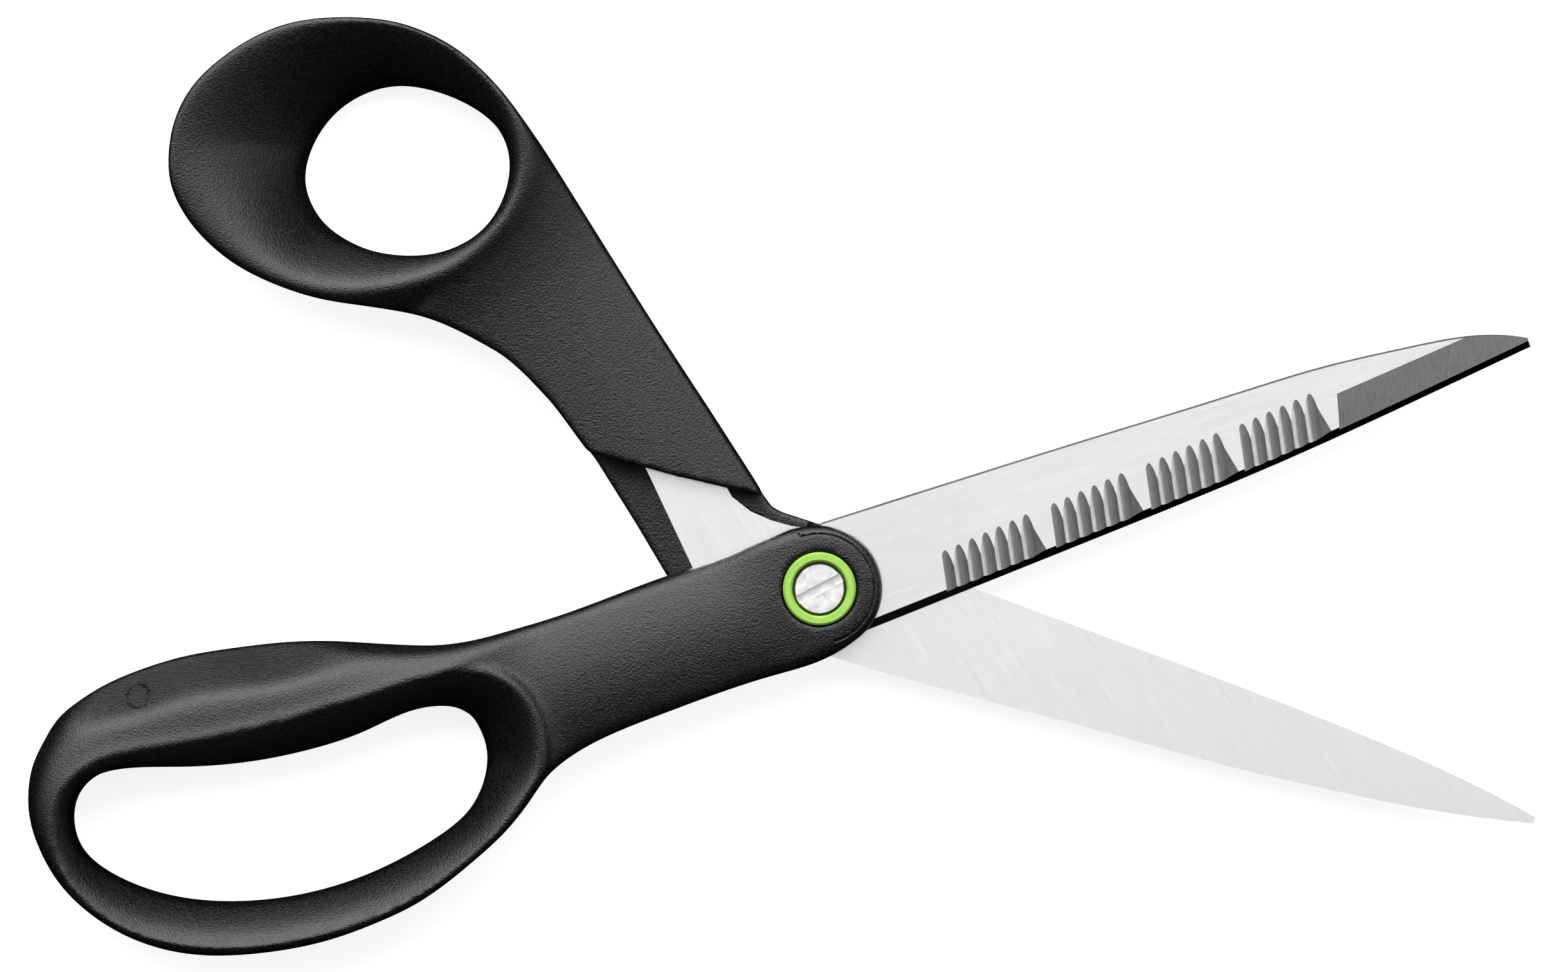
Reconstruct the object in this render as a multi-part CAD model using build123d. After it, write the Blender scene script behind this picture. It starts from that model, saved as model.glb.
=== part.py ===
"""General-purpose scissors with ground flutes on the front blade.

The two halves turn on a slotted screw. Each half is modelled closed, with its blade along +X and the
pivot axis on Z, and is then turned about Z to the half-open position in which the scissors are stored.
The backs of both loops and of the pivot hub lie in the plane z = 0.
"""
from build123d import *
from math import cos, radians, sin, tan
import os

# Driving dimensions, in millimetres and degrees
OPENING = 37.1            # angle between the blades as stored
BLADE_T = 2.2             # thickness of either blade
REAR_Z = 3.35             # back face of the rear blade
FRONT_Z = 5.70            # back face of the front blade, 0.15 above the rear one
ARM_TOP = 11.0            # front face of the finger arm and hub
THUMB_ARM_TOP = 11.4      # front face of the thumb arm
LOOP_TOP = 12.4           # crest of either loop
HUB_R = 8.45              # moulded hub
STEEL_HUB_R = 8.3         # round root of either blade

BEVEL = 1.15              # width of the ground edge bevel
EDGE_LAND = 0.02          # what is left square at the cutting corner
SPINE_CHAMFER = 0.25      # broken corner along the front of the spine

FLUTE_PITCH = 1.97        # spacing of the flutes along the blade
FLUTE_LEAN = 10.8         # lean of a flute towards the tip, from square to the blade
FLUTE_DROP = 6.0          # angle at which a flute sinks below the face
FLUTE_R = 1.85            # hollow of a flute
FLUTE_LENGTH = 9.5        # of the cutter, well past the edge
FLUTE_SIDE = 0.5          # squared-off side of a group, before its first top
LAST_FLANK = 14.0         # slope of the flat flank beside the last flute of a group
FACET_DROP = 7.0          # angle at which the tip facet sinks below the face
FACET_TURN = 4.5          # of its upper edge, from the line of the blade
FACET_LEAN = 15.0         # of its edge beside the last flutes
FACET_CORNER = (74.3, 1.9)
FLUTE_GROUPS = (          # top of the first flute, number of flutes
    ((17.6, -0.7), 7),
    ((33.5, 0.5), 6),
    ((47.3, 1.4), 6),
    ((60.9, 2.3), 6),
)
FLUTE_RISE = 0.085        # how far the tops climb per millimetre along the blade

SHANK_R = 2.5             # plain shank that the front half turns on
SHANK_CLEARANCE = 0.05
THREAD_R = 2.0
HEAD_R = 3.35
HEAD_Z = (8.83, 11.05)
SCREW_END = 1.5           # lower end of the thread
SCREW_CORNER = 0.3        # at the end of the thread
HEAD_CORNER = 0.12
SLOT_W = 1.2
SLOT_DEPTH = 1.0
SLOT_ANGLE = 8.6          # slot against the front blade, as stored
CUP_FLOOR = 8.8           # floor of the bush that the screw head sits on
CUP_R = 3.65
SLEEVE_R = 3.6            # bush where it passes through the front blade
BUSH_BODY_R = 4.1         # bush inside the hub
BUSH_R = 4.9              # flange that is seen as the ring
BUSH_FLANGE_Z = 10.2
BUSH_TOP = 11.35
BUSH_CORNER = 0.25
NUT_FLANGE_R = 4.6
NUT_FLANGE_T = 1.4
NUT_R = 3.4
NUT_CAP = 1.2             # solid metal left under the thread
WASHER_R = 6.5
WASHER_GAP = 0.02         # to the blades on either side, and 0.1 round the nut

REAR_TOP = REAR_Z + BLADE_T
FRONT_TOP = FRONT_Z + BLADE_T

# The wall of the finger loop, station by station round the hole: outline, crest, edge of the hole
FINGER_LOOP = (
    ((-46, 8.6), (-46.5, 4.6), (-51.5, 0.9)),
    ((-53, 10.2), (-54, 5.8), (-56.5, 2.4)),
    ((-62, 13.9), (-63, 6.1), (-64, 1.9)),
    ((-71, 17.0), (-72, 6.4), (-72, 2.0)),
    ((-80, 18.8), (-81, 7.2), (-80, 3.1)),
    ((-89, 19.6), (-89.5, 8.5), (-88, 5.2)),
    ((-98, 18.7), (-96.5, 9.5), (-95, 7.5)),
    ((-105, 15.0), (-102.5, 8.6), (-100.5, 8.0)),
    ((-109.3, 9.0), (-106, 5.8), (-103.9, 6.0)),
    ((-110.4, 2.0), (-107.7, 1.3), (-105.5, 2.3)),
    ((-109.2, -4.2), (-107.5, -3.8), (-105.2, -1.2)),
    ((-105, -11.5), (-103.8, -10.9), (-101.5, -6.4)),
    ((-98, -17.5), (-97.5, -16.0), (-95, -11.2)),
    ((-89, -21.0), (-88.5, -19.8), (-87, -14.5)),
    ((-80, -22.8), (-79.5, -21.5), (-78, -16.3)),
    ((-71, -22.9), (-71, -21.9), (-69, -16.4)),
    ((-62, -21.5), (-62.3, -20.6), (-60, -14.9)),
    ((-54, -18.6), (-54.3, -17.9), (-54, -12.5)),
    ((-47, -14.8), (-47.6, -14.3), (-50.8, -9.0)),
    ((-42, -11.4), (-43, -10.6), (-49.5, -5.5)),
    ((-37.5, -6.0), (-41.3, -5.5), (-49.5, -3.0)),
    ((-36.5, 0.0), (-41.7, -1.2), (-49.8, -1.4)),
    ((-39, 6.0), (-43.6, 2.3), (-50.4, -0.2)),
)

# The same for the thumb loop; the last value is how far the wall leans in towards its back face
THUMB_LOOP = (
    ((-50, 37), (-55.2, 38), (-56.5, 37.5), 1.5),
    ((-51.5, 43.0), (-56.3, 43.6), (-57.6, 42.5), 1.5),
    ((-57, 47.6), (-59.6, 48.2), (-60.5, 45.7), 1.5),
    ((-62.5, 51.6), (-63.5, 51.0), (-65, 47.4), 1.5),
    ((-69, 54.0), (-69.5, 53.2), (-70, 47.8), 1.5),
    ((-76, 54.8), (-76.2, 53.9), (-74.5, 47.1), 1.5),
    ((-84, 53.3), (-83.6, 52.6), (-78, 45.3), 2.0),
    ((-91.5, 49.8), (-91, 49.2), (-80.9, 42.4), 3.0),
    ((-97.5, 43.8), (-97, 43.4), (-82.7, 39), 4.0),
    ((-101, 36.8), (-100.5, 36.5), (-83.5, 35), 4.5),
    ((-101, 29.0), (-100.5, 30.0), (-83, 31), 4.5),
    ((-97, 22.0), (-96.7, 24.8), (-81.2, 28.2), 4.5),
    ((-91, 18.3), (-91.5, 21.0), (-78.6, 26.2), 4.5),
    ((-84, 16.5), (-84.5, 18.6), (-75, 25.0), 5.2),
    ((-77, 16.3), (-77.5, 18.3), (-71, 24.7), 5.2),
    ((-70, 17.2), (-71, 19.7), (-66.8, 25.4), 4.0),
    ((-63, 18.3), (-65, 22.5), (-62.8, 27.0), 2.5),
    ((-56, 20.5), (-60.3, 26.4), (-59.4, 29.7), 1.5),
    ((-51, 28.0), (-57, 31.5), (-57.4, 32.8), 1.5),
)


def toward(start, end, distance):
    """The point at a distance from start, on the way to end."""
    step = (Vector(*end) - Vector(*start)).normalized() * distance
    return (start[0] + step.X, start[1] + step.Y)


def closed_curve(points, z):
    """A face inside one smooth closed curve at height z."""
    return make_face(Spline(*[(x, y, z) for x, y in points], periodic=True).edges())


def polygon(points, z):
    return make_face(Polyline(*[(x, y, z) for x, y in points], close=True).edges())


def prism(points, z0, z1):
    """A straight prism on a polygon, from z0 up to z1."""
    return extrude(polygon(points, z0), z1 - z0, dir=(0, 0, 1))


def disc(radius, z0, z1):
    return Pos(0, 0, z0) * Cylinder(radius, z1 - z0, align=(Align.CENTER, Align.CENTER, Align.MIN))


def loop_wall(stations, lean, waist, low_z, top_flare):
    """The solid wall of a loop, before its hole: back face, waist, widest line, then up to the crest."""
    waist_z, waist_share = waist
    back = [toward(o, h, e) for (o, c, h), e in zip(stations, lean)]
    middle = [toward(o, h, waist_share * e) for (o, c, h), e in zip(stations, lean)]
    outline = [o for o, c, h in stations]
    crest = [toward(c, o, top_flare) for o, c, h in stations]
    levels = ((back, 0.0), (middle, waist_z), (outline, low_z), (crest, LOOP_TOP))
    return loft([closed_curve(points, z) for points, z in levels], ruled=True)


def loop_hole(stations, throat_z):
    """The tapered space through a loop: flared at the back, throat, then a funnel to the crest."""
    throat = [h for o, c, h in stations]
    back = [toward(h, o, 1.0) for o, c, h in stations]
    crest = [toward(c, h, 0.2) for o, c, h in stations]
    levels = ((back, -0.5), (throat, 2.5), (throat, throat_z), (crest, LOOP_TOP + 0.5))
    return loft([closed_curve(points, z) for points, z in levels], ruled=True)


# Blades, closed, edge and spine from the root to the tip
FRONT_SPINE = ((3, 8.25), (20, 7.8), (40, 7.2), (60, 6.5), (75, 5.9), (85, 4.8), (95, 3.1), (101, 0.6))
FRONT_EDGE = ((101, -0.7), (85, -2.4), (65, -4.3), (40, -5.75), (20, -6.7), (3, -7.5))
REAR_SPINE = (
    (3, -8.25), (20, -7.8), (40, -6.7), (60, -5.8), (75, -4.5), (85, -3.4), (95, -1.8), (101.3, -0.5),
)
REAR_EDGE = ((101.3, 0.4), (90, 2.3), (75, 3.8), (55, 5.0), (30, 6.0), (3, 7.2))


def blade_body(spine, edge, flat_z, face_z):
    """A flat blade with its cutting corner on flat_z, and its bevel and spine chamfer on face_z."""
    up = 1 if spine[0][1] > 0 else -1
    front = 1 if face_z > flat_z else -1
    low_z = min(flat_z, face_z)
    top_line = Spline(*[(x, y, low_z) for x, y in spine])
    edge_line = Spline(*[(x, y, low_z) for x, y in edge])
    outline = [top_line, Line(top_line @ 1, edge_line @ 0), edge_line, Line(edge_line @ 1, top_line @ 0)]
    body = extrude(make_face(outline), BLADE_T, dir=(0, 0, 1))
    face_edges = body.edges().filter_by_position(Axis.Z, face_z - 0.01, face_z + 0.01)
    corner = face_edges.sort_by_distance((spine[3][0], spine[3][1], face_z))[0]
    body = chamfer(corner, SPINE_CHAMFER)
    reach = 1.3           # the cutter carries on past the face
    far = -2              # and past the edge
    path = Spline(*[(x, y - up * EDGE_LAND, flat_z) for x, y in edge])
    start = Plane(path @ 0, x_dir=(0, up, 0), z_dir=path % 0)
    rise = 1 if start.y_dir.Z * front > 0 else -1
    height = rise * reach * BLADE_T
    profile = Polyline((0, 0), (reach * BEVEL, height), (far, height), (far, 0), close=True)
    return body - sweep(start * make_face(profile.edges()), path=path, is_frenet=False)


def flute_plane(top):
    """The plane square to a flute at its top, X to the tip and Y up, and the way the flute runs."""
    lean, drop = radians(FLUTE_LEAN), radians(FLUTE_DROP)
    keel = Vector(-sin(lean) * cos(drop), -cos(lean) * cos(drop), -sin(drop))
    across = Vector(cos(lean), -sin(lean), 0)
    return Plane((top[0], top[1], FRONT_TOP), x_dir=across, z_dir=keel), keel


def flute(top):
    """The cutter of one flute: a round bar that sinks from the top down across the bevel."""
    plane, keel = flute_plane(top)
    return extrude(plane * Pos(0, FLUTE_R) * make_face(Circle(FLUTE_R).edges()), FLUTE_LENGTH, dir=keel)


def last_flank(top):
    """The flat flank on the tip side of the last flute in a group."""
    plane, keel = flute_plane(top)
    height = 1.5
    wedge = Polyline((0, 0), (height / tan(radians(LAST_FLANK)), height), (0, height), close=True)
    return extrude(plane * make_face(wedge.edges()), FLUTE_LENGTH, dir=keel)


def flute_group(first_top, count):
    """The flutes of one group, squared off on the side of the first."""
    steps = [i * FLUTE_PITCH for i in range(count)]
    tops = [(first_top[0] + step, first_top[1] + step * FLUTE_RISE) for step in steps]
    cutters = [flute(top) for top in tops]
    group = cutters[0].fuse(*cutters[1:], last_flank(tops[-1]))
    start = Pos(first_top[0] - FLUTE_SIDE, first_top[1], FRONT_TOP) * Rot(0, 0, -FLUTE_LEAN)
    side = start * Box(20, 40, 10, align=(Align.MIN, Align.CENTER, Align.CENTER))
    return group & side


def tip_facet():
    """The plain facet ground between the last flutes and the tip."""
    corner = Pos(FACET_CORNER[0], FACET_CORNER[1], FRONT_TOP)
    slope = corner * Rot(0, 0, FACET_TURN) * Rot(FACET_DROP, 0, 0)
    cutter = slope * Box(80, 20, 4, align=(Align.CENTER, Align.MAX, Align.MIN))
    side = corner * Rot(0, 0, -FACET_LEAN) * Box(60, 60, 10, align=(Align.MIN, Align.CENTER, Align.CENTER))
    return cutter & side


FRONT_TANG = ((-3, -7.6), (-18, -6.9), (-38, -4.8), (-38, 4.2), (-18, 6.2), (-3, 7.0))
REAR_TANG = (
    (-4, -7.2), (-12.8, -7.1), (-17, -2.7), (-26.5, 7.4), (-36, 17.5), (-43, 26.5), (-39.5, 29.8),
    (-22, 14.6), (-15, 8.1), (-12, 7.0), (-9, 6.7), (-6.3, 6.8), (-4, 7.2),
)
TANG_HOLES = {"front": ((-20, 0), (-31, 0)), "rear": ((-28, 13), (-36.5, 22))}
TANG_HOLE_R = 1.8         # the handle is moulded through these


def fluted_blade():
    body = blade_body(FRONT_SPINE, FRONT_EDGE, FRONT_Z, FRONT_TOP)
    body += disc(STEEL_HUB_R, FRONT_Z, FRONT_TOP) + prism(FRONT_TANG, FRONT_Z, FRONT_TOP)
    body -= disc(SLEEVE_R, FRONT_Z - 1, FRONT_TOP + 1)
    for x, y in TANG_HOLES["front"]:
        body -= Pos(x, y, 0) * disc(TANG_HOLE_R, FRONT_Z - 1, FRONT_TOP + 1)
    for first_top, count in FLUTE_GROUPS:
        body -= flute_group(first_top, count)
    return body - tip_facet()


def plain_blade():
    body = blade_body(REAR_SPINE, REAR_EDGE, REAR_TOP, REAR_Z)
    body += disc(STEEL_HUB_R, REAR_Z, REAR_TOP) + prism(REAR_TANG, REAR_Z, REAR_TOP)
    body -= disc(NUT_R, REAR_Z - 1, REAR_TOP + 1)
    for x, y in TANG_HOLES["rear"]:
        body -= Pos(x, y, 0) * disc(TANG_HOLE_R, REAR_Z - 1, REAR_TOP + 1)
    return body


# Handles
FINGER_ARM_LOW = (
    (-1, -8.4), (-25, -9.0), (-38, -10.0), (-46, -14),
    (-46, 8.6), (-33, 8.0), (-19, 8.3), (-1, 8.3),
)
FINGER_ARM_HIGH = (
    (-1, -7.9), (-25, -8.3), (-38, -9.2), (-46, -13),
    (-46, 5.6), (-33, 7.0), (-19, 7.4), (-1, 7.9),
)
THUMB_ARM_LOW = (
    (-66, 18.4), (-58, 18.6), (-50, 17.2), (-42, 13.6), (-35, 8.6),
    (-11, 9.2), (-20, 17), (-30, 25), (-45, 37), (-57, 47),
)
THUMB_ARM_HIGH = (
    (-65, 19.6), (-58, 18.9), (-50, 16.9), (-42, 13.0), (-34.2, 7.5),
    (-12.1, 8.6), (-20.6, 16.1), (-30.6, 24.3), (-45.6, 36.3), (-57, 46.4),
)
THUMB_PLATE = (
    (0, -8.45), (-8, -9.0), (-14.5, -8.9), (-20.2, -4.6), (-26, 0.5), (-33.9, 7.2),
    (-42, 12.9), (-50, 16.6), (-58, 18.2), (-66, 18.4), (-57, 47), (-45, 37),
    (-30, 25), (-20, 17), (-10.6, 9.2), (-8, 8.3), (0, 8.45),
)


def root_space(z0, z1):
    """Room for the round root of a blade, which no plastic borders on the side of the tip."""
    return Pos(-3, 0, z0) * Box(30, 30, z1 - z0, align=(Align.MIN, Align.CENTER, Align.MIN))


def finger_handle(steel):
    lean = [1.8] * len(FINGER_LOOP)
    body = loop_wall(FINGER_LOOP, lean, (1.5, 0.1), 3.8, 0.9)
    body += loft([polygon(FINGER_ARM_LOW, FRONT_Z), polygon(FINGER_ARM_HIGH, ARM_TOP)], ruled=True)
    body += chamfer(disc(HUB_R, FRONT_Z, ARM_TOP).edges().group_by(Axis.Z)[-1], 0.5)
    body -= loop_hole(FINGER_LOOP, 5.5)
    body -= steel
    body -= root_space(0, FRONT_TOP)
    body -= disc(BUSH_BODY_R, FRONT_Z, ARM_TOP + 1)
    return body - disc(BUSH_R, BUSH_FLANGE_Z, ARM_TOP + 1)


def thumb_handle(steel):
    stations = [(o, c, h) for o, c, h, e in THUMB_LOOP]
    lean = [e for o, c, h, e in THUMB_LOOP]
    body = loop_wall(stations, lean, (3.75, 0.8), 7.5, 0.7)
    body += prism(THUMB_PLATE, 0.0, REAR_TOP)
    body += loft([polygon(THUMB_ARM_LOW, REAR_TOP), polygon(THUMB_ARM_HIGH, THUMB_ARM_TOP)], ruled=True)
    body += chamfer(disc(HUB_R, 0.0, REAR_TOP).edges().group_by(Axis.Z)[0], 0.5)
    body -= loop_hole(stations, 4.0)
    body -= steel
    body -= root_space(REAR_Z, REAR_TOP)
    body -= disc(NUT_FLANGE_R, -1, NUT_FLANGE_T)
    return body - disc(NUT_R, 0, REAR_TOP + 1)


# Pivot
def revolved(profile):
    return revolve(Plane.XZ * make_face(Polyline(*profile, close=True).edges()), Axis.Z)


def pivot_bush():
    bore = SHANK_R + SHANK_CLEARANCE
    return revolved((
        (bore, FRONT_Z), (SLEEVE_R, FRONT_Z), (SLEEVE_R, FRONT_TOP), (BUSH_BODY_R, FRONT_TOP),
        (BUSH_BODY_R, BUSH_FLANGE_Z), (BUSH_R, BUSH_FLANGE_Z), (BUSH_R, BUSH_TOP - BUSH_CORNER),
        (BUSH_R - BUSH_CORNER, BUSH_TOP), (CUP_R + BUSH_CORNER, BUSH_TOP),
        (CUP_R, BUSH_TOP - BUSH_CORNER), (CUP_R, CUP_FLOOR), (bore, CUP_FLOOR),
    ))


def pivot_screw():
    low, high = HEAD_Z
    shoulder = REAR_TOP + SHANK_CLEARANCE
    body = revolved((
        (0, SCREW_END), (THREAD_R - SCREW_CORNER, SCREW_END), (THREAD_R, SCREW_END + SCREW_CORNER),
        (THREAD_R, shoulder), (SHANK_R, shoulder), (SHANK_R, low), (HEAD_R, low),
        (HEAD_R, high - HEAD_CORNER), (HEAD_R - HEAD_CORNER, high), (0, high),
    ))
    slot = Pos(0, 0, high) * Rot(0, 0, OPENING / 2 + SLOT_ANGLE) * Box(3 * HEAD_R, SLOT_W, 2 * SLOT_DEPTH)
    return body - slot


def pivot_nut():
    body = disc(NUT_FLANGE_R, 0, NUT_FLANGE_T) + disc(NUT_R, NUT_FLANGE_T, REAR_TOP)
    return body - disc(THREAD_R + SHANK_CLEARANCE, NUT_CAP, REAR_TOP + 1)


def pivot_washer():
    ring = disc(WASHER_R, REAR_TOP + WASHER_GAP, FRONT_Z - WASHER_GAP)
    return ring - disc(NUT_R + 5 * WASHER_GAP, REAR_TOP, FRONT_Z)


def main():
    os.makedirs("parts", exist_ok=True)
    front_steel = fluted_blade()
    rear_steel = plain_blade()
    front_turn = Rot(0, 0, OPENING / 2)
    rear_turn = Rot(0, 0, -OPENING / 2)
    nodes = {
        "fluted_blade": front_turn * front_steel,
        "finger_handle": front_turn * finger_handle(front_steel),
        "pivot_bush": pivot_bush(),
        "plain_blade": rear_turn * rear_steel,
        "thumb_handle": rear_turn * thumb_handle(rear_steel),
        "pivot_nut": pivot_nut(),
        "pivot_washer": pivot_washer(),
        "pivot_screw": pivot_screw(),
    }
    for name, solid in nodes.items():
        export_step(solid, f"parts/{name}.step")
        print(name, round(solid.volume, 1))


if __name__ == "__main__":
    main()
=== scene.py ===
"""Looks for the fluted scissors: moulded handles, ground steel, green bush, floor, light and camera."""

import math

import bmesh
import bpy
import numpy as np
import openvdb
from mathutils import Matrix, Vector


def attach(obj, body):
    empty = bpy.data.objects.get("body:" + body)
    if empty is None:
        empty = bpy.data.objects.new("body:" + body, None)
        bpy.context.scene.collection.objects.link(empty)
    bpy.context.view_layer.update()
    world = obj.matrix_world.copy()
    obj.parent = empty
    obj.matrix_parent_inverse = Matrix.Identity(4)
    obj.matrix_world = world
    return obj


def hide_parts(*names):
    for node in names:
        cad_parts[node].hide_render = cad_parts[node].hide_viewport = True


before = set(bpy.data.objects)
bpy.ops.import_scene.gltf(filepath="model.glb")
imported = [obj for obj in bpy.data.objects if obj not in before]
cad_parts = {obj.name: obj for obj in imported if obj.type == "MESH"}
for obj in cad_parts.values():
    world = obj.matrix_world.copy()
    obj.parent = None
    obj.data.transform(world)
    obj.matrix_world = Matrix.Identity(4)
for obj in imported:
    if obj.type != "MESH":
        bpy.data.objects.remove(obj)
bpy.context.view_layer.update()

MM = 0.001
OPENING = 37.1                       # angle between the blades at rest, degrees
FRONT_TURN = math.radians(OPENING / 2)
REAR_TURN = -FRONT_TURN
VOXEL = 0.36  # of the moulded handles, mm

REAR_TOP = 5.55                      # inner face of the rear blade, mm
REAR_Z = 3.35
FRONT_Z = 5.70                       # inner face of the front blade
FRONT_TOP = 7.90
ARM_TOP = 11.0
LOOP_TOP = 12.35
HUB_R = 8.45


# Fields on a plane ---------------------------------------------------------------------------------

def closed_spline(points, count=480):
    """Points along a smooth closed curve through a few given ones (periodic cubic)."""
    p = np.array(points, float)
    n = len(p)
    h = np.linalg.norm(np.roll(p, -1, 0) - p, axis=1) ** 0.75
    before = np.roll(h, 1)
    matrix = np.zeros((n, n))
    for i in range(n):
        matrix[i, i] = 2 * (before[i] + h[i])
        matrix[i, (i - 1) % n] += before[i]
        matrix[i, (i + 1) % n] += h[i]
    slope = (np.roll(p, -1, 0) - p) / h[:, None]
    second = np.linalg.solve(matrix, 6 * (slope - np.roll(slope, 1, 0)))
    after = np.roll(second, -1, 0)
    per = max(count // n, 4)
    out = []
    for i in range(n):
        t = np.linspace(0, h[i], per, endpoint=False)[:, None]
        u = h[i] - t
        out.append(second[i] * u ** 3 / (6 * h[i]) + after[i] * t ** 3 / (6 * h[i])
                   + (p[i] / h[i] - second[i] * h[i] / 6) * u
                   + (p[(i + 1) % n] / h[i] - after[i] * h[i] / 6) * t)
    return np.concatenate(out)


def distance(x, y, line, closed=True):
    """Distance from every grid point to a line of points, and whether it is inside the closed line."""
    a = line
    b = np.roll(line, -1, 0)
    if not closed:
        a, b = a[:-1], b[:-1]
    best = np.full(x.shape, 1e9)
    inside = np.zeros(x.shape, bool)
    for (ax, ay), (bx, by) in zip(a, b):
        dx, dy = bx - ax, by - ay
        length = dx * dx + dy * dy
        if length == 0:
            continue
        t = np.clip(((x - ax) * dx + (y - ay) * dy) / length, 0, 1)
        best = np.minimum(best, (x - ax - t * dx) ** 2 + (y - ay - t * dy) ** 2)
        if closed and ay != by:
            crosses = ((ay > y) != (by > y)) & (x < dx * (y - ay) / dy + ax)
            inside ^= crosses
    return np.sqrt(best), inside


def signed(x, y, line):
    """Signed distance to a closed line, negative inside."""
    d, inside = distance(x, y, line)
    return np.where(inside, -d, d)


def step(a, b, v):
    """A smooth step from 0 at a to 1 at b."""
    t = np.clip((v - a) / (b - a), 0, 1)
    return t * t * (3 - 2 * t)


def smax(a, b, k):
    """The larger of two fields, with the corner rounded over about k."""
    h = np.clip(0.5 + 0.5 * (a - b) / k, 0, 1)
    return b + (a - b) * h + k * h * (1 - h)


def smin(a, b, k):
    return -smax(-a, -b, k)


def share(here, there):
    """How far along the way from one line to another a point lies, 0 to 1."""
    return here / np.maximum(here + there, 1e-6)


def blur(field, sigma):
    """Rounds the creases of a height map over about sigma, mm."""
    reach = int(3 * sigma / VOXEL) + 1
    weights = np.exp(-0.5 * (np.arange(-reach, reach + 1) * VOXEL / sigma) ** 2)
    weights /= weights.sum()
    for axis in (0, 1):
        padded = np.pad(field, [(reach, reach) if a == axis else (0, 0) for a in (0, 1)], mode="edge")
        field = np.apply_along_axis(lambda line: np.convolve(line, weights, mode="valid"), axis, padded)
    return field


def steepness(z, h):
    """Slope correction that makes a height difference a distance."""
    gx, gy = np.gradient(z, h)
    return np.sqrt(1 + np.minimum(gx ** 2 + gy ** 2, 9.0))


# Handle outlines, closed position, mm ---------------------------------------------------------------
# Wall of the finger loop, station by station: outline, crest, edge of the hole
FINGER_LOOP = (
    ((-46, 8.6), (-46.5, 4.6), (-51.5, 0.9)),
    ((-53, 10.2), (-54, 5.8), (-56.5, 2.4)),
    ((-62, 13.9), (-63, 6.1), (-64, 1.9)),
    ((-71, 17.0), (-72, 6.4), (-72, 2.0)),
    ((-80, 18.8), (-81, 7.2), (-80, 3.1)),
    ((-89, 19.6), (-89.5, 8.5), (-88, 5.2)),
    ((-98, 18.7), (-96.5, 9.5), (-95, 7.5)),
    ((-105, 15.0), (-102.5, 8.6), (-100.5, 8.0)),
    ((-109.3, 9.0), (-106, 5.8), (-103.9, 6.0)),
    ((-110.4, 2.0), (-107.7, 1.3), (-105.5, 2.3)),
    ((-109.2, -4.2), (-107.5, -3.8), (-105.2, -1.2)),
    ((-105, -11.5), (-103.8, -10.9), (-101.5, -6.4)),
    ((-98, -17.5), (-97.5, -16.0), (-95, -11.2)),
    ((-89, -21.0), (-88.5, -19.8), (-87, -14.5)),
    ((-80, -22.8), (-79.5, -21.5), (-78, -16.3)),
    ((-71, -22.9), (-71, -21.9), (-69, -16.4)),
    ((-62, -21.5), (-62.3, -20.6), (-60, -14.9)),
    ((-54, -18.6), (-54.3, -17.9), (-54, -12.5)),
    ((-47, -14.8), (-47.6, -14.3), (-50.8, -9.0)),
    ((-42, -11.4), (-43, -10.6), (-49.5, -5.5)),
    ((-37.5, -6.0), (-41.3, -5.5), (-49.5, -3.0)),
    ((-36.5, 0.0), (-41.7, -1.2), (-49.8, -1.4)),
    ((-39, 6.0), (-43.6, 2.3), (-50.4, -0.2)),
)

# The same for the thumb loop
THUMB_LOOP = (
    ((-50, 37), (-55.2, 38), (-56.5, 37.5)),
    ((-51.5, 43.0), (-56.3, 43.6), (-57.6, 42.5)),
    ((-57, 47.6), (-59.6, 48.2), (-60.5, 45.7)),
    ((-62.5, 51.6), (-63.5, 51.0), (-65, 47.4)),
    ((-69, 54.0), (-69.5, 53.2), (-70, 47.8)),
    ((-76, 54.8), (-76.2, 53.9), (-74.5, 47.1)),
    ((-84, 53.3), (-83.6, 52.6), (-78, 45.3)),
    ((-91.5, 49.8), (-91, 49.2), (-80.9, 42.4)),
    ((-97.5, 43.8), (-97, 43.4), (-82.7, 39)),
    ((-101, 36.8), (-100.5, 36.5), (-83.5, 35)),
    ((-101, 29.0), (-100.5, 30.0), (-83, 31)),
    ((-97, 22.0), (-96.7, 24.8), (-81.2, 28.2)),
    ((-91, 18.3), (-91.5, 21.0), (-78.6, 26.2)),
    ((-84, 16.5), (-84.5, 18.6), (-75, 25.0)),
    ((-77, 16.3), (-77.5, 18.3), (-71, 24.7)),
    ((-70, 17.2), (-71, 19.7), (-66.8, 25.4)),
    ((-63, 18.3), (-65, 22.5), (-62.8, 27.0)),
    ((-56, 20.5), (-60.3, 26.4), (-59.4, 29.7)),
    ((-51, 28.0), (-57, 31.5), (-57.4, 32.8)),
)

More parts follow.
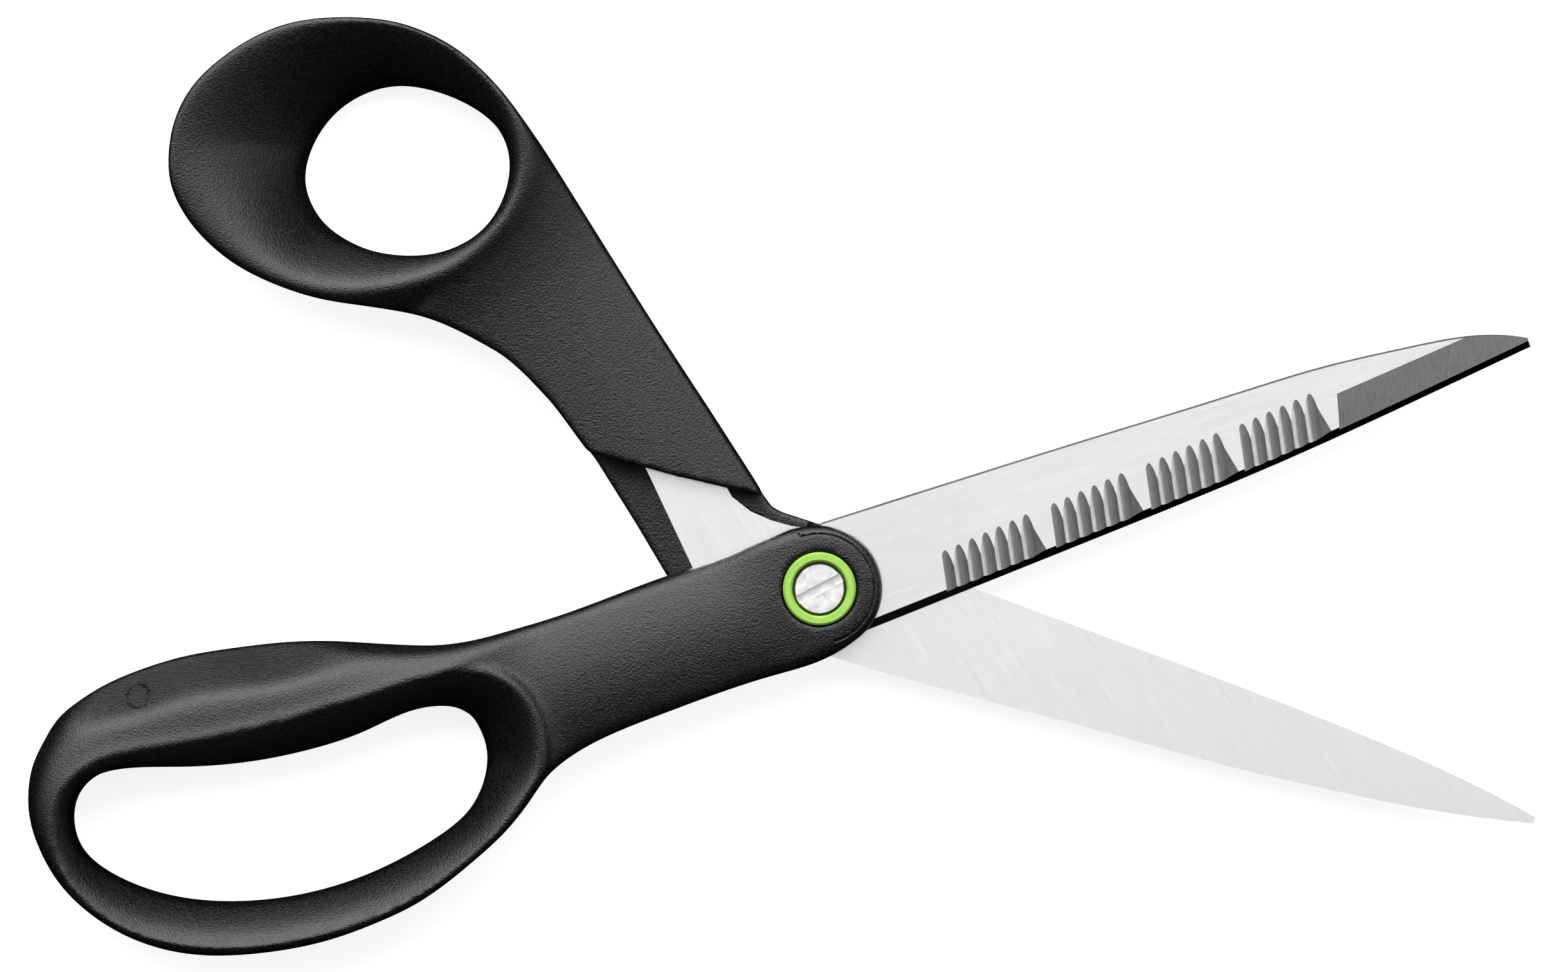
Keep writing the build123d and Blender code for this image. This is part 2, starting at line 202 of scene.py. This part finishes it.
# Whole outline of the finger handle up to its hub, and the line on which its front face breaks
FINGER_OUTLINE = (
    (0, 8.3), (-10, 8.25), (-19, 8.3), (-33, 8.0), (-42, 8.3), (-46, 8.6), (-50, 9.3), (-53, 10.2), (-60.5, 13.2),
    (-65, 15.0), (-70, 16.6), (-75, 17.8), (-80, 18.8), (-84, 19.4), (-89, 19.65), (-95, 19.3), (-99, 18.4),
    (-102.5, 17), (-105, 15), (-107.8, 12), (-110, 7), (-110.4, 3), (-109.5, -3), (-107, -8.5), (-102.5, -14),
    (-96, -18.5), (-88, -21.3), (-80, -22.75), (-75, -23.0), (-70, -22.8), (-64, -22), (-55, -19), (-50.5, -17),
    (-46.5, -14.5), (-43, -12), (-40, -10.7), (-35, -9.6), (-25, -9.0), (-10, -9.0), (0, -8.6), (3, -6), (4, 0),
    (3, 6),
)
FINGER_BREAK = (
    (0, 7.4), (-10, 7.3), (-20, 7.1), (-30, 7.1), (-37, 7.1), (-42, 6.6), (-47, 5.9), (-54, 5.8), (-63, 6.1),
    (-72, 6.4), (-81, 7.2), (-89.5, 8.5), (-96.5, 9.5), (-101.5, 9.0), (-105, 6.8), (-107.3, 3.0), (-107.9, -1),
    (-107.1, -5.6), (-103.6, -11.3), (-97.8, -15.9), (-89, -19.7), (-80, -21.5), (-71, -21.9), (-62.3, -20.6),
    (-54.3, -17.9), (-47.6, -14.3), (-43, -11.2), (-39, -9.3), (-34, -8.6), (-25, -8.2), (-10, -8.2), (0, -7.6),
    (5, -5.5), (7.4, 0), (5, 5.5),
)

# The thumb handle: outline of the upper layer, and of the thin plate that carries it to the pivot
THUMB_OUTLINE = (
    (-101.5, 33), (-101, 29), (-99.5, 25), (-97, 22), (-94, 19.8), (-90, 17.9), (-86, 16.8), (-80, 16.2),
    (-75, 16.4), (-70, 17.2), (-65, 18.0), (-61.5, 18.3), (-57, 18), (-53, 17.3), (-50, 16.6), (-46, 14.9),
    (-42, 12.7), (-38, 9.9), (-30, 3.6), (-22, -3), (-14, -2), (-8, 5), (-11, 9.6), (-15, 13), (-20, 17.1), (-30, 25.2),
    (-40, 33.5), (-50, 41.9), (-54, 45.2), (-57, 47.5), (-61, 50.3), (-66, 52.9), (-70, 54.2), (-75, 54.8),
    (-79.1, 54.5), (-85.1, 52.9), (-90.7, 50.3), (-95, 46.8), (-98.4, 42.5), (-100.7, 38),
)
THUMB_PLATE = (
    (0, -8.45), (-8, -9.0), (-14.5, -8.9), (-20.2, -4.6), (-26, 0.5), (-34, 7.2), (-42, 12.7), (-46, 14.9),
    (-50, 20), (-30, 25), (-20, 17), (-11, 9.6), (-9.5, 8.5), (-8, 8.2), (-2.5, 8.2), (0, 8.45),
)
STEP_LINE = ((-60, 5.4), (-34, 7.3), (-22, 7.75), (-10.3, 8.55), (10, 9.9))

FRONT_TANG = ((-3, -7.6), (-18, -6.9), (-38, -4.8), (-38, 4.2), (-18, 6.2), (-3, 7.0))
REAR_TANG = ((-4, -7.2), (-12.8, -7.1), (-17, -2.7), (-26.5, 7.4), (-36, 17.5), (-43, 26.5), (-39.5, 29.8),
             (-22, 14.6), (-15, 8.1), (-12, 7.0), (-9, 6.7), (-6.3, 6.8), (-4, 7.2))


MOULDING_MARK = (-91.2, 16.4)        # of the round ejector mark on the finger loop


# Moulded handles ------------------------------------------------------------------------------------

def grid(x0, x1, y0, y1, z0, z1):
    axes = [np.arange(a, b + VOXEL, VOXEL) for a, b in ((x0, x1), (y0, y1), (z0, z1))]
    x, y = np.meshgrid(axes[0], axes[1], indexing="ij")
    return x, y, axes[2], (x0, y0, z0)


def mesh_from_field(name, field, corner, turn):
    """The zero surface of a field, turned about the pivot and put in metres."""
    volume = openvdb.FloatGrid(background=3.0)
    volume.copyFromArray(np.clip(field, -3, 3).astype(np.float32))
    volume.transform = openvdb.createLinearTransform(voxelSize=VOXEL)
    points, _, quads = volume.convertToPolygons(0.0, 0.0)
    points = points.astype(float) + np.array(corner)
    c, s = math.cos(turn), math.sin(turn)
    points = points @ np.array(((c, s, 0), (-s, c, 0), (0, 0, 1))) * MM
    mesh = bpy.data.meshes.new(name)
    mesh.from_pydata(points.tolist(), [], quads.tolist())
    mesh.update()
    obj = bpy.data.objects.new(name, mesh)
    bpy.context.scene.collection.objects.link(obj)
    mesh.shade_smooth()
    return obj


def rounded(d, radius):
    """A distance whose start at zero is rounded, as on a crest."""
    return np.sqrt(d ** 2 + radius ** 2) - radius


def funnel(in_hole, in_crest, deepest, radius):
    """Height of the inside of a loop, which falls from the crest to the edge of the hole."""
    width = np.abs(in_hole) + np.abs(in_crest)
    drop = np.minimum(0.95 * width, deepest)
    power = 1.15 + 0.45 * step(8, 15, width)
    return LOOP_TOP - drop * (rounded(in_crest, radius) / rounded(width + 0.01, radius)) ** power


def finger_field():
    x, y, zs, corner = grid(-112.5, 11, -25.5, 22, -1.5, 14)
    hole = closed_spline([h for o, c, h in FINGER_LOOP])
    crest = closed_spline([c for o, c, h in FINGER_LOOP])
    outline = signed(x, y, closed_spline(FINGER_OUTLINE))
    brk = signed(x, y, closed_spline(FINGER_BREAK))
    in_hole = signed(x, y, hole)
    in_crest = signed(x, y, crest)
    radius = np.hypot(x, y)
    side = smin(outline, radius - HUB_R, 1.0)

    loop = step(-36, -52, x)
    crown = ARM_TOP - 0.016 * (y + 3.0) ** 2 * (0.35 + 0.65 * step(-2, -14, x)) * (1 - loop)
    lip = np.exp(-(np.abs(in_crest) / 1.0) ** 1.5)
    face = crown + (LOOP_TOP - crown) * np.maximum(lip * step(-36, -43, x), loop)

    # outside the break line the face falls to the side in a quarter of an ellipse
    nested = step(-48, -75, x) * step(-114, -90, x)   # where the closed thumb loop comes over it
    upper_wall = 7.6 - 3.2 * nested
    low = 8.6 + (upper_wall - 8.6) * step(-6, 12, y) * loop
    low = low + (7.6 - low) * (1 - loop) * step(0, 6, y)
    low = np.maximum(low, face - 1.0 * (np.abs(side) + np.abs(brk)))
    t = share(np.abs(side), np.abs(brk))
    outer = low + (face - low) * np.sqrt(1 - (1 - t) ** (2.1 + 0.5 * step(-4, 8, y) * loop)) + 0.7 * lip * loop
    outer = smin(outer, 4.2 + 1.32 * np.abs(side) + 9 * (1 - nested * step(4, 9, y)), 1.0)
    crest_radius = 0.5 + 1.0 * step(2, -6, y)
    inner = funnel(in_hole, in_crest - 0.35 * step(2, -6, y), 7.7, crest_radius)
    top = np.where(in_crest < 0, inner, np.where(brk < 0, face, outer))

    top = blur(top, 0.45)
    under = FRONT_Z * step(-42.0, -38.2, x - 0.045 * y * y)
    slope = steepness(top, VOXEL)
    field = np.empty(x.shape + (len(zs),), np.float32)
    for i, z in enumerate(zs):
        f = smax((z - top) / slope, side, 0.8)
        f = smax(f, -in_hole, 0.7 if z > 6 else 1.6)
        back = under - z
        f = smax(f, back, np.where(under > 3, 0.5, 3.4))
        f = smax(f, 4.95 - radius, 0.25) if z > 10.15 else smax(f, 4.12 - radius, 0.1)
        field[:, :, i] = f
    return field, corner


def thumb_field():
    x, y, zs, corner = grid(-103.5, 11, -11, 57.5, -1.5, 14)
    hole = closed_spline([h for o, c, h in THUMB_LOOP])
    crest = closed_spline([c for o, c, h in THUMB_LOOP])
    outline = signed(x, y, closed_spline(THUMB_OUTLINE))
    plate = signed(x, y, np.array(THUMB_PLATE))
    in_hole = signed(x, y, hole)
    in_crest = signed(x, y, crest)
    radius = np.hypot(x, y)
    # distance to the step, positive on the side of the pivot
    line = np.array(STEP_LINE)
    away, _ = distance(x, y, line, closed=False)
    below = np.interp(x, line[:, 0], line[:, 1])
    stepped = np.where(y < below, away, -away)

    across = (x + 52) * math.sin(math.radians(40.0)) + (y - 30) * math.cos(math.radians(40.0))
    crown = 10.0 - 0.11 * across - 0.006 * across ** 2
    in_crest = in_crest - 0.5 - 0.5 * step(-60, -70, x - 0.3 * (y - 36))
    away_from_ring = np.exp(-(np.maximum(in_crest, 0) / 5.6) ** 1.3)
    arm = crown + (LOOP_TOP - 0.3 - crown) * away_from_ring
    rim = LOOP_TOP - 0.9 * rounded(in_crest, 1.5)
    face = smax(rim, arm - 6 * step(-60, -74, x), 0.4)
    top = blur(np.where(in_crest < 0, funnel(in_hole, in_crest, 8.7, 1.5), face), 0.4)

    # the wall leans in towards the back of the loop, most on the side away from the arm
    lean = 4.6 * step(-60, -76, x + 0.25 * y) + 1.6
    slope = steepness(top, VOXEL)
    field = np.empty(x.shape + (len(zs),), np.float32)
    for i, z in enumerate(zs):
        inset = lean * step(9.5, -1.0, z) * step(-58, -70, x)
        side = outline + inset
        f = smax((z - top) / slope, side, 0.7)
        f = smax(f, stepped + 0.2 * (11 - z) + 0.35, 0.5)
        g = smax(smin(plate, radius - HUB_R, 0.3), z - REAR_TOP, 0.15)
        f = smin(f, g, 0.3)
        f = smax(f, -in_hole, 0.7 if z > 6 else 1.6)
        f = smax(f, 0.02 - z, 2.6 if z < 3 else 0.4)
        if z < 1.4:
            f = smax(f, 4.62 - radius, 0.2)
        elif z < REAR_Z + 0.3:
            f = smax(f, 3.42 - radius, 0.1)
        field[:, :, i] = f
    return field, corner


def smooth(obj):
    """Takes the grid's small steps out of a surface."""
    mod = obj.modifiers.new("smooth", "SMOOTH")
    mod.factor = 0.5
    mod.iterations = 4
    bpy.context.view_layer.objects.active = obj
    bpy.ops.object.modifier_apply(modifier="smooth")


def tang_cutter(outline, z0, z1, turn, hub_r):
    """The space of a tang and of the blade's round root: corners and faces of a prism, mm."""
    ring = [(hub_r * math.cos(a), hub_r * math.sin(a)) for a in np.radians(np.arange(-118, 119, 4))]
    c, s = math.cos(turn), math.sin(turn)
    flat = [(x * c - y * s, x * s + y * c) for x, y in ring + list(reversed(outline))]
    n = len(flat)
    verts = [(x, y, z) for z in (z0, z1) for x, y in flat]
    faces = [tuple(range(n))[::-1], tuple(range(n, 2 * n))]
    faces += [(i, (i + 1) % n, n + (i + 1) % n, n + i) for i in range(n)]
    return verts, faces


def groove_cutter(obj, path, width, depth, closed=False):
    """A narrow bar along a path over a surface, sunk into it by depth: corners and faces, mm."""
    verts = []
    n = len(path)
    for i, (x, y) in enumerate(path):
        before = path[i - 1] if closed or i > 0 else path[i]
        after = path[(i + 1) % n] if closed or i < n - 1 else path[i]
        along = Vector((after[0] - before[0], after[1] - before[1])).normalized() * width / 2
        found, place, _, _ = obj.ray_cast((x * MM, y * MM, 0.03), (0, 0, -1))
        z = place.z / MM
        for side, level in ((1, z - depth), (-1, z - depth), (-1, z + 1), (1, z + 1)):
            verts.append((x - along.y * side, y + along.x * side, level))
    spans = n if closed else n - 1
    faces = []
    for i in range(spans):
        here, there = 4 * i, 4 * ((i + 1) % n)
        faces += [(here + k, here + (k + 1) % 4, there + (k + 1) % 4, there + k) for k in range(4)]
    if not closed:
        last = 4 * (n - 1)
        faces += [(3, 2, 1, 0), (last, last + 1, last + 2, last + 3)]
    return verts, faces


def cut(obj, cutters):
    """Takes closed cutters out of a handle in one go."""
    all_verts, all_faces = [], []
    for verts, faces in cutters:
        start = len(all_verts)
        all_verts += [tuple(c * MM for c in v) for v in verts]
        all_faces += [tuple(start + i for i in face) for face in faces]
    mesh = bpy.data.meshes.new("cutter")
    mesh.from_pydata(all_verts, [], all_faces)
    mesh.update()
    shape = bmesh.new()
    shape.from_mesh(mesh)
    bmesh.ops.recalc_face_normals(shape, faces=shape.faces)
    shape.to_mesh(mesh)
    shape.free()
    cutter = bpy.data.objects.new("cutter", mesh)
    bpy.context.scene.collection.objects.link(cutter)
    mod = obj.modifiers.new("cut", "BOOLEAN")
    mod.operation = "DIFFERENCE"
    mod.solver = "EXACT"
    mod.object = cutter
    bpy.context.view_layer.objects.active = obj
    bpy.ops.object.modifier_apply(modifier="cut")
    bpy.data.objects.remove(cutter)


def arc(centre, radius, start, end, step_deg=4):
    """Points along an arc, angles in degrees."""
    turns = np.radians(np.arange(start, end, step_deg if end > start else -step_deg))
    return [(centre[0] + radius * math.cos(a), centre[1] + radius * math.sin(a)) for a in turns]


def handles():
    field, corner = finger_field()
    finger = mesh_from_field("finger_grip", field, corner, FRONT_TURN)
    smooth(finger)
    seam = arc((0, 0), 7.38, 109, -76)
    seam = [(-2.78, 7.45), (-2.60, 7.15)] + seam
    mark_x, mark_y = MOULDING_MARK
    c, s = math.cos(FRONT_TURN), math.sin(FRONT_TURN)
    mark = (mark_x * c - mark_y * s, mark_x * s + mark_y * c)
    cut(finger, (
        tang_cutter(FRONT_TANG, FRONT_Z - 1, FRONT_TOP + 0.01, FRONT_TURN, 8.9),
        groove_cutter(finger, seam, 0.19, 0.32),
        groove_cutter(finger, arc(mark, 1.5, 0, 360, 12), 0.16, 0.16, closed=True),
    ))
    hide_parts("finger_handle")
    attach(finger, "finger_half")

    field, corner = thumb_field()
    thumb = mesh_from_field("thumb_grip", field, corner, REAR_TURN)
    smooth(thumb)
    cut(thumb, (tang_cutter(REAR_TANG, REAR_Z - 0.01, REAR_TOP + 0.02, REAR_TURN, 8.9),))
    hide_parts("thumb_handle")
    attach(thumb, "thumb_half")
    material = plastic()
    for obj in (finger, thumb):
        obj.data.materials.clear()
        obj.data.materials.append(material)


# Materials ------------------------------------------------------------------------------------------

class Nodes:
    """A short way of writing a node tree."""

    def __init__(self, name):
        self.material = bpy.data.materials.new(name)
        self.material.use_nodes = True
        self.tree = self.material.node_tree
        self.shader = self.tree.nodes["Principled BSDF"]

    def add(self, kind, values=None, **settings):
        node = self.tree.nodes.new("ShaderNode" + kind)
        for key, value in settings.items():
            setattr(node, key, value)
        for key, value in (values or {}).items():
            self.put(node.inputs[key], value)
        return node

    def put(self, socket, value):
        if isinstance(value, bpy.types.NodeSocket):
            self.tree.links.new(value, socket)
        else:
            socket.default_value = value

    def set(self, **values):
        for key, value in values.items():
            self.put(self.shader.inputs[key.replace("_", " ")], value)

    def math(self, operation, a, b=0.0, clamp=False):
        node = self.add("Math", {0: a, 1: b}, operation=operation, use_clamp=clamp)
        return node.outputs[0]

    def mix(self, factor, a, b):
        node = self.add("Mix", {0: factor, 6: a, 7: b}, data_type="RGBA")
        return node.outputs[2]

    def place(self, turn=0.0, scale=(1, 1, 1)):
        """Object coordinates, turned about Z and scaled."""
        coordinates = self.add("TexCoord").outputs["Object"]
        turned = self.add("Mapping", {"Vector": coordinates, "Rotation": (0, 0, -turn)})
        return self.add("Mapping", {"Vector": turned.outputs[0], "Scale": scale}).outputs[0]

    def noise(self, where, scale, detail=3.0, roughness=0.5):
        node = self.add("TexNoise", {"Vector": where, "Scale": scale, "Detail": detail, "Roughness": roughness})
        return node.outputs["Fac"]

    def ramp(self, value, low, high, out_low=0.0, out_high=1.0):
        node = self.add("MapRange", {"Value": value, "From Min": low, "From Max": high, "To Min": out_low,
                                     "To Max": out_high})
        return node.outputs[0]

    def bump(self, height, strength, distance):
        node = self.add("Bump", {"Height": height, "Strength": strength, "Distance": distance})
        return node.outputs[0]


def plastic():
    n = Nodes("black_plastic")
    where = n.place()
    grain = n.noise(where, 3900, 1.5, 0.6)
    fine = n.noise(where, 12000, 1.0, 0.5)
    cloud = n.noise(where, 55, 3.0, 0.6)
    height = n.math("ADD", grain, n.math("MULTIPLY", fine, 0.35))
    speckle = n.math("ADD", n.ramp(grain, 0.36, 0.64, 0.0, 0.85), n.ramp(cloud, 0.35, 0.7, 0.0, 0.15))
    n.set(Base_Color=n.mix(speckle, (0.0004, 0.0004, 0.0005, 1), (0.0052, 0.0052, 0.0055, 1)),
          Roughness=n.ramp(cloud, 0.3, 0.7, 0.20, 0.26), Normal=n.bump(height, 1.0, 0.00009))
    n.shader.inputs["IOR"].default_value = 1.5
    n.shader.inputs["Specular IOR Level"].default_value = 0.17
    return n.material


def steel(name, turn, direction, brush, rough, inner=False):
    """Ground steel: fine brushing at an angle to the blade; flutes and facet are rougher with cross lines, and flutes,
    facet and bevel carry painted shade, darker by their tilt.
    """
    n = Nodes(name)
    lengthwise = n.place(turn + direction, (1, 26, 26))
    lines = n.noise(lengthwise, brush, 4.0, 0.62)
    fine = n.noise(lengthwise, brush * 4.5, 2.0, 0.5)
    streaks = n.math("ADD", lines, n.math("MULTIPLY", fine, 0.6))
    patches = n.noise(n.place(turn), 60, 2.0)
    base = n.mix(n.ramp(streaks, 0.55, 1.05), (0.485, 0.485, 0.482, 1), (0.515, 0.515, 0.51, 1))
    roughness = n.math("ADD", n.ramp(streaks, 0.5, 1.1, rough - 0.02, rough + 0.03),
                       n.ramp(patches, 0.3, 0.7, -0.008, 0.008))
    height = streaks
    if not inner:
        # tilt of the surface: 1 on the flat faces, less on flutes, least on the bevel; it picks where painted shade
        # darkens the colour
        normal = n.add("NewGeometry").outputs["True Normal"]
        up = n.math("ABSOLUTE", n.add("SeparateXYZ", {0: normal}).outputs["Z"])
        ground_and_painted_shade = n.math("MULTIPLY", n.ramp(up, 0.9995, 0.9975), n.ramp(up, 0.70, 0.80))
        bevel = n.math("MULTIPLY", n.ramp(up, 0.60, 0.52), n.ramp(up, 0.36, 0.42))
        cross = n.noise(n.place(turn + math.radians(79.0), (1, 24, 24)), brush * 2.2, 3.0, 0.6)
        # painted shade: flutes and facet are coloured darker than the flat faces, chosen by their tilt; the cross lines
        # are grinding marks
        dark = n.mix(n.ramp(cross, 0.3, 0.75), (0.15, 0.15, 0.152, 1), (0.22, 0.22, 0.22, 1))
        base = n.mix(ground_and_painted_shade, base, dark)
        # painted shade: the bevel is coloured nearly black, chosen by its tilt
        base = n.mix(bevel, base, (0.022, 0.022, 0.024, 1))
        roughness = n.math("ADD", roughness, n.math("MULTIPLY", ground_and_painted_shade, 0.12))
        height = n.math("ADD", n.math("MULTIPLY", streaks, n.math("SUBTRACT", 1.0, ground_and_painted_shade)),
                        n.math("MULTIPLY", cross, ground_and_painted_shade))
    n.set(Base_Color=base, Roughness=roughness, Normal=n.bump(height, 0.15, 0.00002))
    n.shader.inputs["Metallic"].default_value = 1.0
    return n.material


def turned_steel():
    n = Nodes("turned_steel")
    where = n.place()
    part = n.add("SeparateXYZ", {0: where})
    radius = n.math("SQRT", n.math("ADD", n.math("POWER", part.outputs["X"], 2.0),
                                   n.math("POWER", part.outputs["Y"], 2.0)))
    rings = n.math("SINE", n.math("MULTIPLY", radius, 26000.0))
    wear = n.noise(where, 900, 3.0, 0.6)
    height = n.math("ADD", n.math("MULTIPLY", rings, 0.5), wear)
    n.set(Base_Color=n.mix(n.ramp(wear, 0.35, 0.7), (0.38, 0.38, 0.385, 1), (0.47, 0.47, 0.47, 1)),
          Roughness=n.ramp(wear, 0.3, 0.7, 0.26, 0.34), Normal=n.bump(height, 0.18, 0.00002))
    n.shader.inputs["Metallic"].default_value = 1.0
    return n.material


def bush_plastic():
    n = Nodes("green_plastic")
    where = n.place()
    cloud = n.noise(where, 700, 3.0, 0.6)
    n.set(Base_Color=n.mix(n.ramp(cloud, 0.3, 0.7), (0.080, 0.155, 0.018, 1), (0.092, 0.172, 0.022, 1)),
          Roughness=n.ramp(cloud, 0.3, 0.7, 0.30, 0.42), Normal=n.bump(n.noise(where, 3000, 2.0), 0.12, 0.00003))
    return n.material


def washer_plastic():
    n = Nodes("natural_plastic")
    cloud = n.noise(n.place(), 900, 3.0)
    n.set(Base_Color=n.mix(cloud, (0.66, 0.66, 0.62, 1), (0.80, 0.80, 0.77, 1)),
          Roughness=n.ramp(cloud, 0.3, 0.7, 0.4, 0.55))
    return n.material


def finish_cad_nodes():
    screw = turned_steel()
    finishes = {
        "fluted_blade": steel("front_steel", FRONT_TURN, 0.0, 110, 0.20),
        "plain_blade": steel("rear_steel", REAR_TURN, math.radians(-38), 110, 0.22, inner=True),
        "pivot_bush": bush_plastic(),
        "pivot_screw": screw,
        "pivot_nut": screw,
        "pivot_washer": washer_plastic(),
    }
    for name, material in finishes.items():
        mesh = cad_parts[name].data
        mesh.materials.clear()
        mesh.materials.append(material)


# Studio ---------------------------------------------------------------------------------------------

def softbox(name, direction, distance, width, height, radiance):
    """A rectangular softbox that faces the pivot, by the brightness that a mirror would show."""
    data = bpy.data.lights.new(name, "AREA")
    data.shape = "RECTANGLE"
    data.size, data.size_y = width, height
    data.energy = radiance * math.pi * width * height
    obj = bpy.data.objects.new(name, data)
    place = Vector(direction).normalized() * distance
    obj.location = place
    obj.rotation_euler = place.to_track_quat("Z", "Y").to_euler()
    obj.visible_camera = False
    bpy.context.scene.collection.objects.link(obj)
    return obj


def rim_light(pieces):
    """A low softbox for the steep outer walls of the loops alone; the spines of the blades stay dark."""
    lit = bpy.data.collections.new("lit_by_rim")
    for piece in pieces:
        lit.objects.link(piece)
    rim = softbox("rim", (-0.30, 0.94, 0.12), 1.6, 1.3, 0.4, 18.0)
    rim.light_linking.receiver_collection = lit


def floor():
    mesh = bpy.data.meshes.new("floor")
    r = 3.0
    mesh.from_pydata([(-r, -r, 0), (r, -r, 0), (r, r, 0), (-r, r, 0)], [], [(0, 1, 2, 3)])
    obj = bpy.data.objects.new("floor", mesh)
    obj.location = (0, 0, -0.0002)
    bpy.context.scene.collection.objects.link(obj)
    n = Nodes("floor_paper")
    cloud = n.noise(n.place(), 3.0, 2.0)
    n.set(Base_Color=n.mix(cloud, (0.11, 0.11, 0.11, 1), (0.115, 0.115, 0.115, 1)))
    n.shader.inputs["Roughness"].default_value = 0.9
    n.shader.inputs["Specular IOR Level"].default_value = 0.1
    n.shader.inputs["Emission Color"].default_value = (1, 1, 1, 1)
    n.shader.inputs["Emission Strength"].default_value = 0.72
    mesh.materials.append(n.material)
    obj.visible_glossy = False          # the object is lit and mirrored by the studio alone


def studio():
    """Brightest high on the +Y side, dark on the -Y side."""
    world = bpy.data.worlds.new("studio")
    world.use_nodes = True
    tree = world.node_tree
    direction = tree.nodes.new("ShaderNodeTexCoord")
    parts = tree.nodes.new("ShaderNodeSeparateXYZ")
    tree.links.new(direction.outputs["Generated"], parts.inputs[0])
    ramp = tree.nodes.new("ShaderNodeValToRGB")
    place = tree.nodes.new("ShaderNodeMapRange")
    place.inputs["From Min"].default_value = -1
    tree.links.new(parts.outputs["Y"], place.inputs["Value"])
    tree.links.new(place.outputs[0], ramp.inputs[0])
    # nothing shines from below
    above = tree.nodes.new("ShaderNodeMapRange")
    above.inputs["From Min"].default_value = -0.12
    above.inputs["From Max"].default_value = 0.12
    tree.links.new(parts.outputs["Z"], above.inputs["Value"])
    ramp.color_ramp.interpolation = "B_SPLINE"
    stops = ((-1.0, 0.02), (-0.6, 0.02), (-0.3, 0.04), (-0.1, 0.2), (0.1, 0.3), (0.40, 0.5), (0.72, 0.6),
             (0.90, 0.2), (1.0, 0.05))
    elements = ramp.color_ramp.elements
    while len(elements) < len(stops):
        elements.new(0.5)
    for element, (dy, level) in zip(elements, stops):
        element.position = (dy + 1) / 2
        element.color = (level, level, level, 1)
    # a faint glow along the horizon, which the blades mirror in low views
    glow = tree.nodes.new("ShaderNodeMapRange")
    glow.inputs["From Min"].default_value = 0.62
    glow.inputs["From Max"].default_value = 0.34
    glow.inputs["To Max"].default_value = 0.36
    tree.links.new(parts.outputs["Z"], glow.inputs["Value"])
    level = tree.nodes.new("ShaderNodeMath")
    level.operation = "MAXIMUM"
    tree.links.new(ramp.outputs[0], level.inputs[0])
    tree.links.new(glow.outputs[0], level.inputs[1])
    background = tree.nodes["Background"]
    tree.links.new(level.outputs[0], background.inputs["Color"])
    tree.links.new(above.outputs[0], background.inputs["Strength"])
    bpy.context.scene.world = world

    softbox("overhead", (0.0, 0.04, 1), 1.3, 1.1, 0.7, 0.98)
    softbox("key", (-0.08, 0.70, 0.72), 1.6, 2.2, 1.5, 13.0)
    softbox("left", (-0.75, 0.25, 0.66), 1.5, 0.8, 1.1, 4.0)
    softbox("right", (0.72, 0.12, 0.68), 1.5, 0.8, 0.9, 4.5)
    bpy.context.scene.view_settings.view_transform = "Standard"
    bpy.context.scene.view_settings.look = "Medium High Contrast"


def camera():
    """Straight above, at the distance and roll of the photograph."""
    width_px, height_px, px_per_mm = 2439, 1512, 11.57
    roll = math.radians(-0.59)
    height = 1.0
    focus_z = 0.0075
    seen = width_px / px_per_mm * MM
    data = bpy.data.cameras.new("camera")
    data.sensor_width = 36.0
    data.lens = data.sensor_width * (height - focus_z) / seen
    data.clip_start = 0.01
    obj = bpy.data.objects.new("camera", data)
    centre = Matrix.Rotation(roll, 3, "Z") @ Vector((-0.00475, 0.01376, 0))
    obj.location = (centre.x, centre.y, height)
    obj.rotation_euler = (0, 0, roll)
    bpy.context.scene.collection.objects.link(obj)
    bpy.context.scene.camera = obj


camera()
studio()
floor()
handles()
rim_light([bpy.data.objects["finger_grip"], bpy.data.objects["thumb_grip"]])
finish_cad_nodes()
